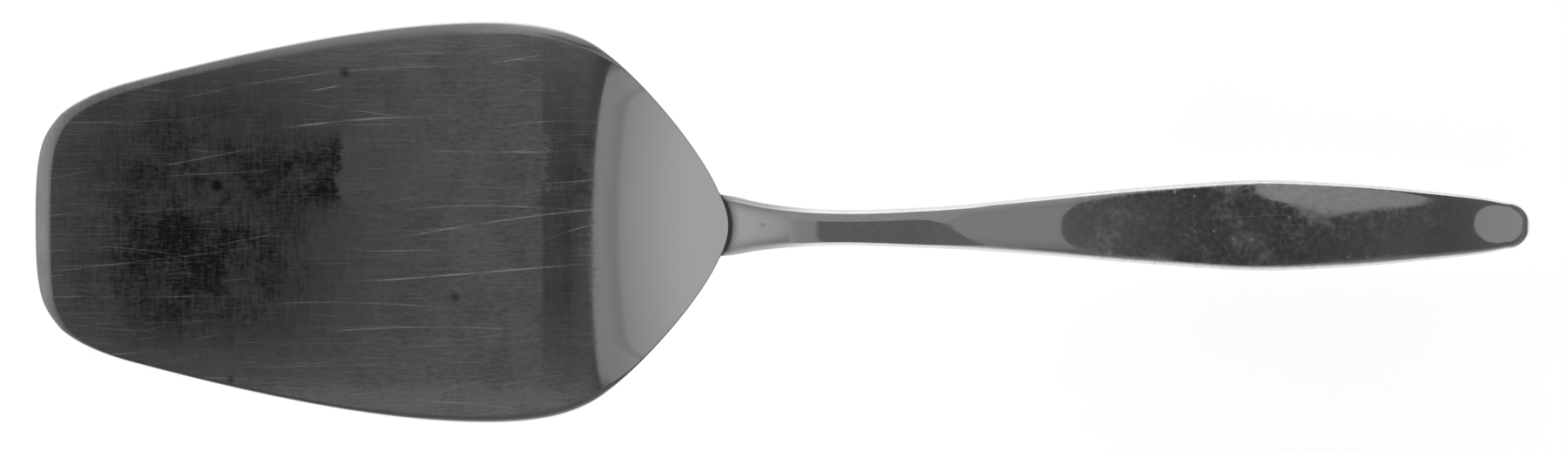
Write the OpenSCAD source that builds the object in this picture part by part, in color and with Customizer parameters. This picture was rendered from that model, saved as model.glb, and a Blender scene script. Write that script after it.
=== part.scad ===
// Cake server: a pressed steel blade with an offset shoulder, cemented by a forged
// bolster and tang into a hollow handle that is soldered up from two struck halves.
// Millimetres. X runs from the nose to the tail, Z is up, and the middle of the
// footprint is the origin. The flat of the blade and the belly of the handle rest on Z = 0.

/* [Blade] */
// Length of the blade from the nose to the corners of the seam
blade_len = 110; // [90:0.5:140]
// Greatest width of the blade
blade_w = 64.5; // [50:0.5:80]
// Thickness of the blade's sheet
blade_t = 1.2; // [0.8:0.1:1.6]
// Width of the bevel ground along the nose
nose_bevel = 2.2; // [1:0.1:4]
// Radius of the bevel's inner edge, seen from above
bevel_r = 90; // [70:1:110]
// Thickness left at the edge of the nose
nose_t = 0.5; // [0.3:0.1:0.7]
// Length of the raised shoulder, from the start of the bend to the seam
shoulder_len = 26; // [22:0.5:34]
// Radius of the bend line, seen from above
bend_r = 141; // [120:1:200]
// Steepest climb, in degrees, reached at the seam
seam_angle = 30; // [22:1:34]

/* [Handle] */
// Length of the handle from the corners of the seam to the tail
handle_len = 130; // [110:0.5:150]
// Width at the belly
handle_w = 14.6; // [12:0.1:18]
// Thickness at the belly
handle_t = 6.2; // [5.6:0.1:8]
// Width at the neck
neck_w = 5.8; // [5.4:0.1:7]
// Thickness at the neck
neck_t = 3.9; // [3.7:0.1:4.6]
// Width at the mouth, where the blade enters
mouth_w = 10; // [9:0.1:12]
// Thickness at the mouth
mouth_t = 4.7; // [4.4:0.1:5.4]
// Width across the shoulders of the rounded tail
tail_w = 7.5; // [6:0.1:9]
// Thickness across the shoulders of the rounded tail
tail_t = 4.4; // [3.6:0.1:5]
// Length of the tail's rounding, seen from above
tail_round = 3.6; // [2.6:0.1:4.6]
// Length over which the top and bottom roll down to the tip
tail_roll = 12; // [6:0.5:20]
// Wall of the struck half shells
shell_wall = 0.8; // [0.6:0.05:0.9]

/* [Joint] */
// How far the seam bows towards the handle
seam_bow = 1.4; // [0.6:0.1:2]
// Cement line between the blade's end and the handle's mouth
seam_gap = 0.15; // [0.1:0.05:0.3]
// Height of the rounded lip at the mouth
lip_h = 0.5; // [0.2:0.1:0.7]
// Length of the rounded lip at the mouth
lip_len = 2.4; // [1.6:0.1:3.4]
// Length of the bolster's tongue under the shoulder
tongue_len = 15; // [10:0.5:18]
// Width of the tongue at its tip
tongue_tip_w = 3; // [2:0.1:4.5]
// Thickness of the tongue at its tip
tongue_tip_t = 0.5; // [0.3:0.1:0.8]
// Depth of the bolster's plug inside the mouth
plug_len = 7; // [5:0.5:10]
// Clearance round the plug and the tang's shoulders
plug_gap = 0.1; // [0.05:0.05:0.2]
// Reach of the tang from the seam into the handle
tang_len = 52; // [40:0.5:60]
// Width of the tang
tang_w = 3.2; // [2.4:0.1:3.6]
// Thickness of the tang
tang_t = 1.5; // [1:0.1:1.7]
// Depth of cement past the tang's end
cement_len = 6; // [3:0.5:10]
// Thickness of the braze between blade and bolster
braze_t = 0.1; // [0.05:0.05:0.2]
// Thickness of the solder between the two halves of the handle
solder_t = 0.12; // [0.08:0.02:0.2]

/* [Hidden] */

overrun = 5;
outline_steps = 10;
sweep_fn = 200;

overall_len = blade_len + handle_len;
nose_x = -overall_len / 2;
mouth_x = nose_x + blade_len;
tail_x = mouth_x + handle_len;
cap_x = tail_x - tail_round;
bend_x = mouth_x - shoulder_len;
axis_x = bend_x + bend_r;

// Landmarks along the handle, as shares of its length from the mouth
ease_share = 0.116;
crest_share = 0.185;
slide_share = 0.33;
settle_share = 0.44;
belly_share = 0.672;
neck_share = 0.157;
ease_x = mouth_x + ease_share * handle_len;
crest_x = mouth_x + crest_share * handle_len;
slide_x = mouth_x + slide_share * handle_len;
settle_x = mouth_x + settle_share * handle_len;
belly_x = mouth_x + belly_share * handle_len;
neck_x = mouth_x + neck_share * handle_len;

// Side view: the slope runs straight between these places, so the line is smooth.
// The slope behind the neck is the one that brings the belly down to the table.
seam_slope = tan(seam_angle);
ease_slope_share = 0.26;
settle_slope_share = 0.4;
mouth_half_v = (mouth_t / 2 - lip_h) / cos(seam_angle);
seam_top = blade_t + seam_slope * shoulder_len / 2;
ease_rise = seam_slope * (1 + ease_slope_share) / 2 * (ease_x - mouth_x);
crest_rise = seam_slope * ease_slope_share / 2 * (crest_x - ease_x);
crest_level = seam_top - mouth_half_v + ease_rise + crest_rise;
fall_reach = (slide_x - crest_x) / 2
    + (settle_x - slide_x) * (1 + settle_slope_share) / 2
    + (belly_x - settle_x) * settle_slope_share / 2;
fall_slope = (crest_level - handle_t / 2) / fall_reach;
slope_knots = [
    [bend_x, 0],
    [mouth_x, seam_slope],
    [ease_x, ease_slope_share * seam_slope],
    [crest_x, 0],
    [slide_x, -fall_slope],
    [settle_x, -settle_slope_share * fall_slope],
    [belly_x, 0],
    [tail_x, 0]
];

function mix(a, b, s) = a + (b - a) * s;
function slope(x) = lookup(x, slope_knots);
function secant(x) = sqrt(1 + pow(slope(x), 2));

// Height gained between the bend and x: the area under the slope
function climb(x, i = 0) =
    i > len(slope_knots) - 2 || x <= slope_knots[i][0] ? 0
    : let (a = slope_knots[i][0], b = min(x, slope_knots[i + 1][0]))
      (b - a) * (slope(a) + slope(b)) / 2 + climb(x, i + 1);

function blade_top(x) = blade_t + climb(x);
function spine(x) = blade_t - mouth_half_v + climb(x);

// Level of the blade's underside: the blade is swept round the axis of its bend line
function sweep_x(x, y) = axis_x - sqrt(pow(axis_x - x, 2) + pow(y, 2));
function blade_under(x, y) = let (s = sweep_x(x, y)) blade_top(s) - blade_t * secant(s);

// A smooth curve through [place, value] rows that never swings past a row
function chord(rows, i) = (rows[i + 1][1] - rows[i][1]) / (rows[i + 1][0] - rows[i][0]);
function lean(rows, i) =
    i == 0 ? chord(rows, 0)
    : i == len(rows) - 1 ? chord(rows, i - 1)
    : chord(rows, i - 1) * chord(rows, i) <= 0 ? 0
    : let (
        before = rows[i][0] - rows[i - 1][0],
        after = rows[i + 1][0] - rows[i][0],
        p = before + 2 * after,
        q = 2 * before + after
      )
      (p + q) / (p / chord(rows, i - 1) + q / chord(rows, i));
function track(rows, x, i = 0) =
    i < len(rows) - 2 && x > rows[i + 1][0] ? track(rows, x, i + 1)
    : let (
        run = rows[i + 1][0] - rows[i][0],
        u = (x - rows[i][0]) / run,
        w = u * u * (3 - 2 * u)
      )
      mix(rows[i][1], rows[i + 1][1], w)
      + run * u * (1 - u) * ((1 - u) * lean(rows, i) - u * lean(rows, i + 1));

// Handle outline: shares of the way between two landmarks, and of the two widths there
flare_shares = [[0, 1], [0.12, 0.83], [0.26, 0.54], [0.47, 0.26], [0.74, 0.06]];
swell_shares = [[0, 0], [0.2, 0.1], [0.47, 0.42], [0.74, 0.78]];
taper_shares = [[0, 0], [0.34, 0.16], [0.7, 0.52], [0.9, 0.78], [1, 1]];
width_rows = concat(
    [for (s = flare_shares) [mix(mouth_x, neck_x, s[0]), mix(neck_w, mouth_w, s[1]) / 2]],
    [for (s = swell_shares) [mix(neck_x, belly_x, s[0]), mix(neck_w, handle_w, s[1]) / 2]],
    [for (s = taper_shares) [mix(belly_x, cap_x, s[0]), mix(handle_w, tail_w, s[1]) / 2]]
);
thick_rows = [
    [mouth_x, mouth_t / 2],
    [crest_x, neck_t / 2],
    [belly_x, handle_t / 2],
    [cap_x, tail_t / 2]
];
lip_end_x = mouth_x + lip_len;

// How square the section is: 2 would be an ellipse
mouth_power = 3.4;
neck_power = 2.8;
belly_power = 6;
tail_power = 5.5;
power_rows = [
    [mouth_x, mouth_power],
    [neck_x, neck_power],
    [belly_x, belly_power],
    [cap_x, tail_power]
];
function power(x) = track(power_rows, min(x, cap_x));

// The rounded end is a quarter of an ellipse, one wall shorter on the inside
function round_off(x, reach, inset) =
    x <= tail_x - reach ? 1
    : sqrt(max(0, 1 - pow((x - tail_x + reach) / (reach - inset), 2)));
function lip(x) =
    x >= lip_end_x ? 0
    : x <= mouth_x ? lip_h
    : lip_h * (1 - sqrt(1 - pow((lip_end_x - x) / lip_len, 2)));
function half_w(x, inset = 0) =
    (track(width_rows, min(x, cap_x)) - inset) * round_off(x, tail_round, inset);
function half_t(x, inset = 0) =
    (track(thick_rows, min(x, cap_x)) - lip(x) - inset) * secant(x)
    * round_off(x, tail_roll, inset);

// Places of the rings along the handle. They crowd towards the mouth's lip, and the
// last few close the rounded tail down to a small flat at its tip.
lip_crowding = 1.6;
tip_flat_share = 0.4;
plug_rings = 7;
tang_rings = 15;
cement_rings = 2;
belly_rings = 20;
cap_rings = 6;
plug_x = mouth_x + plug_len;
tang_x = mouth_x + tang_len;
cement_x = tang_x + cement_len;
k_plug = plug_rings;
k_tang = k_plug + tang_rings;
k_cement = k_tang + cement_rings;
k_cap = k_cement + belly_rings;
k_tail = k_cap + cap_rings;
cap_turn = 90 / (cap_rings + tip_flat_share);
function ring_x(k, inset = 0) =
    k <= k_plug ? mix(mouth_x + seam_gap, plug_x, pow(k / plug_rings, lip_crowding))
    : k <= k_tang ? mix(plug_x, tang_x, (k - k_plug) / tang_rings)
    : k <= k_cement ? mix(tang_x, cement_x, (k - k_tang) / cement_rings)
    : k <= k_cap ? mix(cement_x, cap_x, (k - k_cement) / belly_rings)
    : cap_x + (tail_round - inset) * sin(cap_turn * (k - k_cap));

// Unit section: flat on top and bottom with rounded sides
arc_steps = 14;
tang_power = 7;
function unit_cos(j, power) = let (c = cos(180 * j / arc_steps)) sign(c) * pow(abs(c), 2 / power);
function unit_sin(j, power) = pow(abs(sin(180 * j / arc_steps)), 2 / power);

// The seam's bow is a parabola across the mouth. It fades out by the end of the plug.
function bow(x, y) =
    seam_bow * (1 - pow(2 * y / mouth_w, 2)) * max(0, 1 - abs(x - mouth_x) / plug_len);

// One point of a half section. Side is 1 above the parting line and -1 below it.
function skin(x0, j, inset, side) =
    let (
        y = half_w(x0, inset) * unit_cos(j, power(x0)),
        x = x0 + bow(x0, y),
        rise = (half_t(x0, inset) - solder_t / 2) * unit_sin(j, power(x0))
    )
    [x, side * y, spine(x) + side * (solder_t / 2 + rise)];

// Two triangles between four corners given clockwise as seen from outside
function quad(a, b, c, d) = [[a, b, c], [a, c, d]];
function flat_list(rows) = [for (row = rows) for (item = row) item];
function grid_faces(base, rows, columns) = flat_list(
    [for (k = [0:rows - 2]) for (j = [0:columns - 2])
        let (a = base + k * columns + j) quad(a, a + columns, a + columns + 1, a + 1)]
);
function reversed(faces) = [for (f = faces) [for (i = [len(f) - 1:-1:0]) f[i]]];
function ring_faces(base, rows, columns) = flat_list(
    [for (k = [0:rows - 2]) for (j = [0:columns - 1])
        let (a = base + k * columns, i = (j + 1) % columns)
        quad(a + j, a + j + columns, a + i + columns, a + i)]
);

// A solid through closed rings of equal count
module loft(rings) {
    columns = len(rings[0]);
    last = (len(rings) - 1) * columns;
    polyhedron(
        points = flat_list(rings),
        faces = concat(
            ring_faces(0, len(rings), columns),
            [[for (j = [0:columns - 1]) j]],
            [[for (j = [columns - 1:-1:0]) last + j]]
        ),
        convexity = 6
    );
}

// One struck half of the handle: an outer skin, an inner skin one wall inside it,
// and the flat edges that join them at the parting line and at the mouth
module half_shell(side) {
    columns = arc_steps + 1;
    rows = k_tail + 1;
    outer = [for (k = [0:k_tail]) for (j = [0:arc_steps]) skin(ring_x(k), j, 0, side)];
    inner = [for (k = [0:k_tail]) for (j = [0:arc_steps])
        skin(ring_x(k, shell_wall), j, shell_wall, side)];
    in = rows * columns;
    near = [for (k = [0:k_tail - 1]) let (a = k * columns)
        quad(a, in + a, in + a + columns, a + columns)];
    far = [for (k = [0:k_tail - 1]) let (a = k * columns + arc_steps)
        quad(a, a + columns, in + a + columns, in + a)];
    mouth = [for (j = [0:arc_steps - 1]) quad(j, j + 1, in + j + 1, in + j)];
    tip = k_tail * columns;
    polyhedron(
        points = concat(outer, inner),
        faces = concat(
            grid_faces(0, rows, columns),
            reversed(grid_faces(in, rows, columns)),
            flat_list(near),
            flat_list(far),
            flat_list(mouth),
            [[for (j = [arc_steps:-1:0]) tip + j]],
            [[for (j = [0:arc_steps]) in + tip + j]],
            quad(tip, in + tip, in + tip + arc_steps, tip + arc_steps)
        ),
        convexity = 6
    );
}

// Blade outline, as Bezier spans that share their end points. X is a share of the
// blade's length; Y is a share of half its width at the nose and along the side,
// and of the way from the root's half width to the blade's at the shoulder.
nose_shares = [[0, 0], [0, 0.35], [0.007, 0.42], [0.037, 0.537], [0.06, 0.605],
    [0.094, 0.657], [0.138, 0.698], [0.29, 0.835], [0.49, 1], [0.659, 1]];
shoulder_shares = [[0.72, 1], [0.788, 0.97], [0.834, 0.818], [0.888, 0.655],
    [0.975, 0.25], [1, 0]];
half_points = concat(
    [for (s = nose_shares) [nose_x + s[0] * blade_len, s[1] * blade_w / 2]],
    [for (s = shoulder_shares)
        [nose_x + s[0] * blade_len, mix(mouth_w / 2, blade_w / 2, s[1])]]
);
function bezier(p, i, t) =
    pow(1 - t, 3) * p[i] + 3 * t * pow(1 - t, 2) * p[i + 1]
    + 3 * t * t * (1 - t) * p[i + 2] + pow(t, 3) * p[i + 3];
half_outline = concat(
    [for (i = [0:3:len(half_points) - 4]) for (n = [0:outline_steps - 1])
        bezier(half_points, i, n / outline_steps)],
    [half_points[len(half_points) - 1]]
);
root_steps = 8;
root_end = [for (n = [1:root_steps - 1])
    let (y = mouth_w / 2 * (1 - 2 * n / root_steps)) [mouth_x + bow(mouth_x, y), y]];
blade_outline = concat(
    half_outline,
    root_end,
    [for (i = [len(half_outline) - 1:-1:1]) [half_outline[i][0], -half_outline[i][1]]]
);

// The sheet in side view, as distance from the sweep axis and height
bend_steps = 16;
sweep_end_x = mouth_x + seam_bow + blade_t;
bend_places = [for (n = [0:bend_steps]) mix(bend_x, sweep_end_x, n / bend_steps)];
sheet_profile = concat(
    [[axis_x - nose_x + overrun, 0]],
    [for (x = bend_places)
        [axis_x - x - blade_t * slope(x) / secant(x), blade_top(x) - blade_t / secant(x)]],
    [for (n = [bend_steps:-1:0]) let (x = bend_places[n]) [axis_x - x, blade_top(x)]],
    [[axis_x - nose_x + overrun, blade_t]]
);

// What the nose's bevel takes away, as distance from the bevel's own centre and height
bevel_turn = 60;
bevel_drop = (blade_t - nose_t) / nose_bevel;
bevel_profile = [
    [bevel_r, blade_t],
    [bevel_r + overrun, blade_t - bevel_drop * overrun],
    [bevel_r + overrun, blade_t + overrun],
    [bevel_r, blade_t + overrun]
];

// Pressed sheet blade: flat, with a bevelled nose and a shoulder that climbs to the seam
module blade() {
    color([0.66, 0.66, 0.67])
        difference() {
            intersection() {
                translate([axis_x, 0, 0])
                    rotate_extrude($fn = sweep_fn)
                        polygon(sheet_profile);
                translate([0, 0, -overrun])
                    linear_extrude(blade_top(sweep_end_x) + 2 * overrun)
                        polygon(blade_outline);
            }
            translate([nose_x + nose_bevel + bevel_r, 0, 0])
                rotate([0, 0, 180 - bevel_turn / 2])
                    rotate_extrude(angle = bevel_turn, $fn = sweep_fn)
                        polygon(bevel_profile);
        }
}

// Tongue of the bolster: how it gains width and depth from its tip to the seam, as
// shares of its length against shares of the way from the tip's size to the mouth's
tongue_rings = 16;
tongue_crowding = 1.5;
tongue_width_shares = [[0, 0], [0.02, 0.16], [0.1, 0.32], [0.45, 0.66], [1, 1]];
tongue_depth_shares = [[0, 0], [0.25, 0.13], [0.65, 0.5], [1, 1]];
tongue_x = mouth_x - tongue_len;
tongue_margin = 0.1;
mouth_depth = 2 * half_t(mouth_x) - blade_t * secant(mouth_x) - braze_t;
tongue_places = [for (n = [0:tongue_rings]) pow(n / tongue_rings, tongue_crowding)];
function tongue_half_w(s) =
    mix(tongue_tip_w, mouth_w - 2 * tongue_margin, track(tongue_width_shares, s)) / 2;
function tongue_depth(s) =
    mix(tongue_tip_t, mouth_depth - tongue_margin, track(tongue_depth_shares, s));
function tongue_top(x, y) = blade_under(x, y) - braze_t;

// One point of the tongue's ring: its flat top where drop is 0, its round belly where it is 1
function tongue_point(s, j, side, drop) =
    let (
        x0 = mix(tongue_x, mouth_x, s),
        y = side * tongue_half_w(s) * unit_cos(j, mouth_power),
        x = x0 + bow(x0, y)
    )
    [x, y, tongue_top(x, y) - drop * tongue_depth(s) * unit_sin(j, mouth_power)];
function tongue_ring(s) = concat(
    [for (j = [0:arc_steps]) tongue_point(s, j, 1, 0)],
    [for (j = [1:arc_steps - 1]) tongue_point(s, j, -1, 1)]
);

function plug_ring(k) =
    let (inset = shell_wall + plug_gap)
    concat(
        [for (j = [0:arc_steps]) skin(ring_x(k), j, inset, 1)],
        [for (j = [1:arc_steps - 1]) skin(ring_x(k), j, inset, -1)]
    );

function tang_ring(k) =
    let (x = ring_x(k), w = tang_w / 2, t = tang_t / 2 * secant(x))
    concat(
        [for (j = [0:arc_steps])
            [x, w * unit_cos(j, tang_power), spine(x) + t * unit_sin(j, tang_power)]],
        [for (j = [1:arc_steps - 1])
            [x, -w * unit_cos(j, tang_power), spine(x) - t * unit_sin(j, tang_power)]]
    );

// Forged bolster: a tongue under the shoulder, a plug in the mouth and a long tang
module bolster_tang() {
    color([0.5, 0.5, 0.52])
        loft(concat(
            [for (s = tongue_places) tongue_ring(s)],
            [for (k = [0:k_plug]) plug_ring(k)],
            [for (k = [k_plug:k_tang]) tang_ring(k)]
        ));
}

// Thin layer of braze that holds the tongue to the blade's underside: a skin swept
// like the sheet, cut to the plan of the tongue
module blade_braze() {
    places = [for (n = [0:bend_steps]) mix(tongue_x, sweep_end_x, n / bend_steps)];
    rim = [for (s = tongue_places) [mix(tongue_x, mouth_x, s), tongue_half_w(s)]];
    root_half_w = tongue_half_w(1);
    root = [for (n = [1:root_steps - 1])
        let (y = root_half_w * (1 - 2 * n / root_steps)) [mouth_x + bow(mouth_x, y), y]];
    plan = concat(rim, root, [for (i = [tongue_rings:-1:0]) [rim[i][0], -rim[i][1]]]);
    color([0.8, 0.72, 0.5])
        intersection() {
            translate([axis_x, 0, 0])
                rotate_extrude($fn = sweep_fn)
                    polygon(concat(
                        [for (x = places) [axis_x - x, blade_under(x, 0)]],
                        [for (n = [bend_steps:-1:0])
                            [axis_x - places[n], blade_under(places[n], 0) - braze_t]]
                    ));
            linear_extrude(blade_top(sweep_end_x))
                polygon(plan);
        }
}

// Cement packed round the tang, from the plug to a little past the tang's end
module handle_cement() {
    columns = 2 * arc_steps;
    rows = k_cement - k_plug + 1;
    outer = [for (k = [k_plug:k_cement])
        concat(
            [for (j = [0:arc_steps]) skin(ring_x(k), j, shell_wall, 1)],
            [for (j = [1:arc_steps - 1]) skin(ring_x(k), j, shell_wall, -1)]
        )];
    bore_rows = k_tang - k_plug + 1;
    bore = [for (k = [k_plug:k_tang]) tang_ring(k)];
    in = rows * columns;
    last_out = (rows - 1) * columns;
    last_in = in + (bore_rows - 1) * columns;
    front = [for (j = [0:columns - 1])
        let (i = (j + 1) % columns) quad(j, i, in + i, in + j)];
    color([0.32, 0.3, 0.28])
        polyhedron(
            points = flat_list(concat(outer, bore)),
            faces = concat(
                ring_faces(0, rows, columns),
                reversed(ring_faces(in, bore_rows, columns)),
                flat_list(front),
                [[for (j = [columns - 1:-1:0]) last_out + j]],
                [[for (j = [0:columns - 1]) last_in + j]]
            ),
            convexity = 6
        );
}

// Solder run round the parting line, from the mouth round the tail and back
module seam_solder() {
    function section(k, side) =
        let (
            out = skin(ring_x(k), 0, 0, side),
            in = skin(ring_x(k, shell_wall), 0, shell_wall, side),
            low = solder_t / 2 + side * solder_t / 2
        )
        [
            [out[0], out[1], out[2] - low],
            [out[0], out[1], out[2] - low + solder_t],
            [in[0], in[1], in[2] - low + solder_t],
            [in[0], in[1], in[2] - low]
        ];
    color([0.74, 0.73, 0.7])
        loft(concat(
            [for (k = [0:k_tail]) section(k, 1)],
            [for (k = [k_tail:-1:0]) section(k, -1)]
        ));
}

module handle_bottom_shell() {
    color([0.72, 0.71, 0.69]) half_shell(-1);
}

module handle_top_shell() {
    color([0.78, 0.77, 0.75]) half_shell(1);
}

blade();
blade_braze();
bolster_tang();
handle_cement();
handle_bottom_shell();
seam_solder();
handle_top_shell();
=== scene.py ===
import math

import bmesh
import bpy
import numpy as np
from mathutils.geometry import delaunay_2d_cdt
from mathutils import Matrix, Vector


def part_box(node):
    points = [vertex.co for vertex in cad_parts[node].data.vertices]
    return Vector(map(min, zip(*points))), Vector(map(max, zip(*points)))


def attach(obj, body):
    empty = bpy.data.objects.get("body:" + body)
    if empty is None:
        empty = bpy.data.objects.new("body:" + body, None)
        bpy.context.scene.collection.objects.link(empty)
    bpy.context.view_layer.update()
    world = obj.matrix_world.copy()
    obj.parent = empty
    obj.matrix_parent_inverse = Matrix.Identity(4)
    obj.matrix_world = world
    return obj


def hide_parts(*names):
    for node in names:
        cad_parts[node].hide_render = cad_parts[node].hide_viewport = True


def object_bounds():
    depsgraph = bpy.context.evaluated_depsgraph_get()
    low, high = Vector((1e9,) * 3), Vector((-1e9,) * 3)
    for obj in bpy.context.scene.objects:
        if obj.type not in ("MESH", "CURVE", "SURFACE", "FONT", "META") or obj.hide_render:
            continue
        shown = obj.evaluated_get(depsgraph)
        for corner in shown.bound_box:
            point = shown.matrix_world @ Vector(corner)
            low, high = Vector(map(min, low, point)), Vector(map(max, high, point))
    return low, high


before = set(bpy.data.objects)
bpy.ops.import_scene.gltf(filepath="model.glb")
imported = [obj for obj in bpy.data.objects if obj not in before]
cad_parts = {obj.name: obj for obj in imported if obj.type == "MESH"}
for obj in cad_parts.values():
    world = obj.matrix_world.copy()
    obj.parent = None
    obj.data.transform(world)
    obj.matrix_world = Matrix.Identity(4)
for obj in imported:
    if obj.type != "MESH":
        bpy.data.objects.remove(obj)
cad_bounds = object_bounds()

# View: a long lens looks down on the server from just beyond its far edge, so the
# nose is on the left and the frame is as wide as the photograph.
MM = 0.001
photo_width = 1800
photo_height = 518
pixel = 0.14 * MM
origin_row = 255.9
lens_height = 2.1
lens_tilt = math.radians(3.4)
lens_turn = math.radians(0.12)

camera_data = bpy.data.cameras.new("camera")
camera_data.sensor_width = 36
camera_data.lens = camera_data.sensor_width * lens_height / (photo_width * pixel)
camera = bpy.data.objects.new("camera", camera_data)
aim_y = (origin_row - photo_height / 2) * pixel
camera.location = (0, aim_y + lens_height * math.sin(lens_tilt), lens_height * math.cos(lens_tilt))
camera.rotation_euler = (-lens_tilt, 0, lens_turn)
bpy.context.scene.collection.objects.link(camera)
bpy.context.scene.camera = camera
bpy.context.scene.view_settings.view_transform = "Standard"

# Studio: grey walls that brighten towards the table, a dark card overhead and small
# cards close over the handle for the polished metal to mirror, and a white table that
# keeps the server's shadow. Places on the walls are angles from straight up, in degrees.
far_wall = [(-90, 1.0), (-76, 0.85), (-62, 0.5), (-50, 0.28), (-40, 0.18), (-20, 0.15),
            (12, 0.18), (20, 0.26), (32, 0.29), (45, 0.31), (60, 0.36), (66, 0.5), (69, 1.3), (90, 1.3)]
end_wall = [(-90, 0.08), (-76, 0.2), (-66, 0.5), (-54, 0.515), (-48, 0.5), (-42, 0.46),
            (-37, 0.42), (-31, 0.38), (-25, 0.325), (-20, 0.295), (-12, 0.285), (12, 0.25),
            (42, 0.25), (50, 0.18), (58, 0.11), (66, 0.14), (74, 0.5), (80, 0.9), (90, 1.0)]
white = (1, 1, 1, 1)
never_zero = 1e-6


def add(tree, kind, inputs=(), **settings):
    """Add a node. Inputs maps a socket's name or number to a value or to another socket."""
    made = tree.nodes.new(kind)
    for name, value in settings.items():
        setattr(made, name, value)
    for key, value in dict(inputs).items():
        if isinstance(value, bpy.types.NodeSocket):
            tree.links.new(value, made.inputs[key])
        else:
            made.inputs[key].default_value = value
    return made


def put(tree, kind, inputs=(), **settings):
    """Add a node and give its first output."""
    return add(tree, kind, inputs, **settings).outputs[0]


def calc(operation, *values, **settings):
    """A Math node on numbers and sockets, in the tree that its sockets are in."""
    tree = next(value.id_data for value in values if isinstance(value, bpy.types.NodeSocket))
    return put(tree, "ShaderNodeMath", enumerate(values), operation=operation, **settings)


def plus(a, b):
    return calc("ADD", a, b)


def less(a, b):
    return calc("SUBTRACT", a, b)


def times(product, *others):
    for other in others:
        product = calc("MULTIPLY", product, other)
    return product


def over(a, b):
    return calc("DIVIDE", a, b)


def scaled(value, by, start):
    """Start plus a value times a number."""
    return calc("MULTIPLY_ADD", value, by, start)


def xyz(spot):
    """The three numbers of a vector."""
    return add(spot.id_data, "ShaderNodeSeparateXYZ", {"Vector": spot}).outputs


def vector(*numbers):
    """A vector of numbers, the first of them a socket."""
    return put(numbers[0].id_data, "ShaderNodeCombineXYZ", enumerate(numbers))


def blend(share, first, second):
    """A colour that share carries from the first to the second."""
    return put(share.id_data, "ShaderNodeMixRGB", {0: share, 1: first, 2: second})


def tones(factor, stops):
    """A grey ramp through (place, grey) stops."""
    ramp = add(factor.id_data, "ShaderNodeValToRGB", {"Fac": factor})
    for _ in stops[2:]:
        ramp.color_ramp.elements.new(0.5)
    for stop, (place, grey) in zip(ramp.color_ramp.elements, stops):
        stop.position = place
        stop.color = (grey, grey, grey, 1)
    return ramp.outputs["Color"]


def profile(value, stops):
    """A grey that runs straight between (value, grey) stops."""
    low, high = stops[0][0], stops[-1][0]
    share = over(less(value, low), high - low)
    return tones(share, [((place - low) / (high - low), grey) for place, grey in stops])


world = bpy.data.worlds.new("studio")
bpy.context.scene.world = world
world.use_nodes = True
walls = world.node_tree
walls.nodes.clear()
way = xyz(add(walls, "ShaderNodeTexCoord").outputs["Generated"])
turn_y, turn_x = (calc("DEGREES", calc("ARCTAN2", way[axis], way["Z"])) for axis in ("Y", "X"))
far_tone = profile(turn_y, far_wall)
end_tone = profile(turn_x, end_wall)
y_squared = times(way["Y"], way["Y"])
both_squared = scaled(way["X"], way["X"], y_squared)
facing_far = over(y_squared, plus(both_squared, never_zero))
wall_tone = blend(facing_far, end_tone, far_tone)
camera_ray = add(walls, "ShaderNodeLightPath").outputs["Is Camera Ray"]
background = put(walls, "ShaderNodeBackground", {"Color": blend(camera_ray, wall_tone, white)})
add(walls, "ShaderNodeOutputWorld", {"Surface": background})


def new_material(name):
    """A material with an empty node tree, and that tree."""
    made = bpy.data.materials.new(name)
    made.use_nodes = True
    made.node_tree.nodes.clear()
    return made, made.node_tree


def new_piece(name, mesh, *materials):
    """An object at the origin with its place in its mesh."""
    made = bpy.data.objects.new(name, mesh)
    bpy.context.scene.collection.objects.link(made)
    for material in materials:
        mesh.materials.append(material)
    return made


def flat_sheet(name, corners, level):
    """A flat sheet that faces up, through corners given anticlockwise."""
    mesh = bpy.data.meshes.new(name)
    mesh.from_pydata([(x, y, level) for x, y in corners], [], [list(range(len(corners)))])
    return mesh


def hang(name, level, stops, corners):
    """Hang a panel that only reflections see. Its stops give its tone along X."""
    surface, tree = new_material(name)
    x = xyz(add(tree, "ShaderNodeTexCoord").outputs["Object"])["X"]
    glow = put(tree, "ShaderNodeEmission", {"Color": profile(x, stops), "Strength": 1.0})
    add(tree, "ShaderNodeOutputMaterial", {"Surface": glow})
    panel = new_piece(name, flat_sheet(name, corners, level), surface)
    panel.visible_camera = False
    panel.visible_shadow = False


card_height = 0.6
low_height = 0.05
behind_height = 0.052
card_tones = [(-0.235, 0.07), (-0.14, 0.07), (-0.125, 0.095), (-0.04, 0.1), (0.0, 0.115),
              (0.07, 0.11), (0.11, 0.045), (0.15, 0.068), (0.19, 0.095), (0.27, 0.11)]
hang("overhead_card", card_height, card_tones, [
    (-0.235, -0.6), (0.125, -0.6), (0.137, -0.57), (0.155, -0.435), (0.172, -0.36), (0.196, -0.22),
    (0.227, -0.135), (0.257, -0.064), (0.269, -0.038), (0.263, -0.027), (0.228, 0.048),
    (0.19, 0.199), (0.167, 0.317), (0.146, 0.508), (0.131, 0.7), (0.06, 0.7), (0.05, 0.134),
    (-0.15, 0.134), (-0.235, 0.06), (-0.235, 0.034), (-0.2, 0.027), (-0.186, 0.02), (-0.183, 0.012),
    (-0.182, 0.006), (-0.188, -0.018), (-0.188, -0.035), (-0.183, -0.051), (-0.167, -0.074),
    (-0.155, -0.083), (-0.149, -0.088), (-0.165, -0.0955), (-0.193, -0.102), (-0.235, -0.118)])

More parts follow.
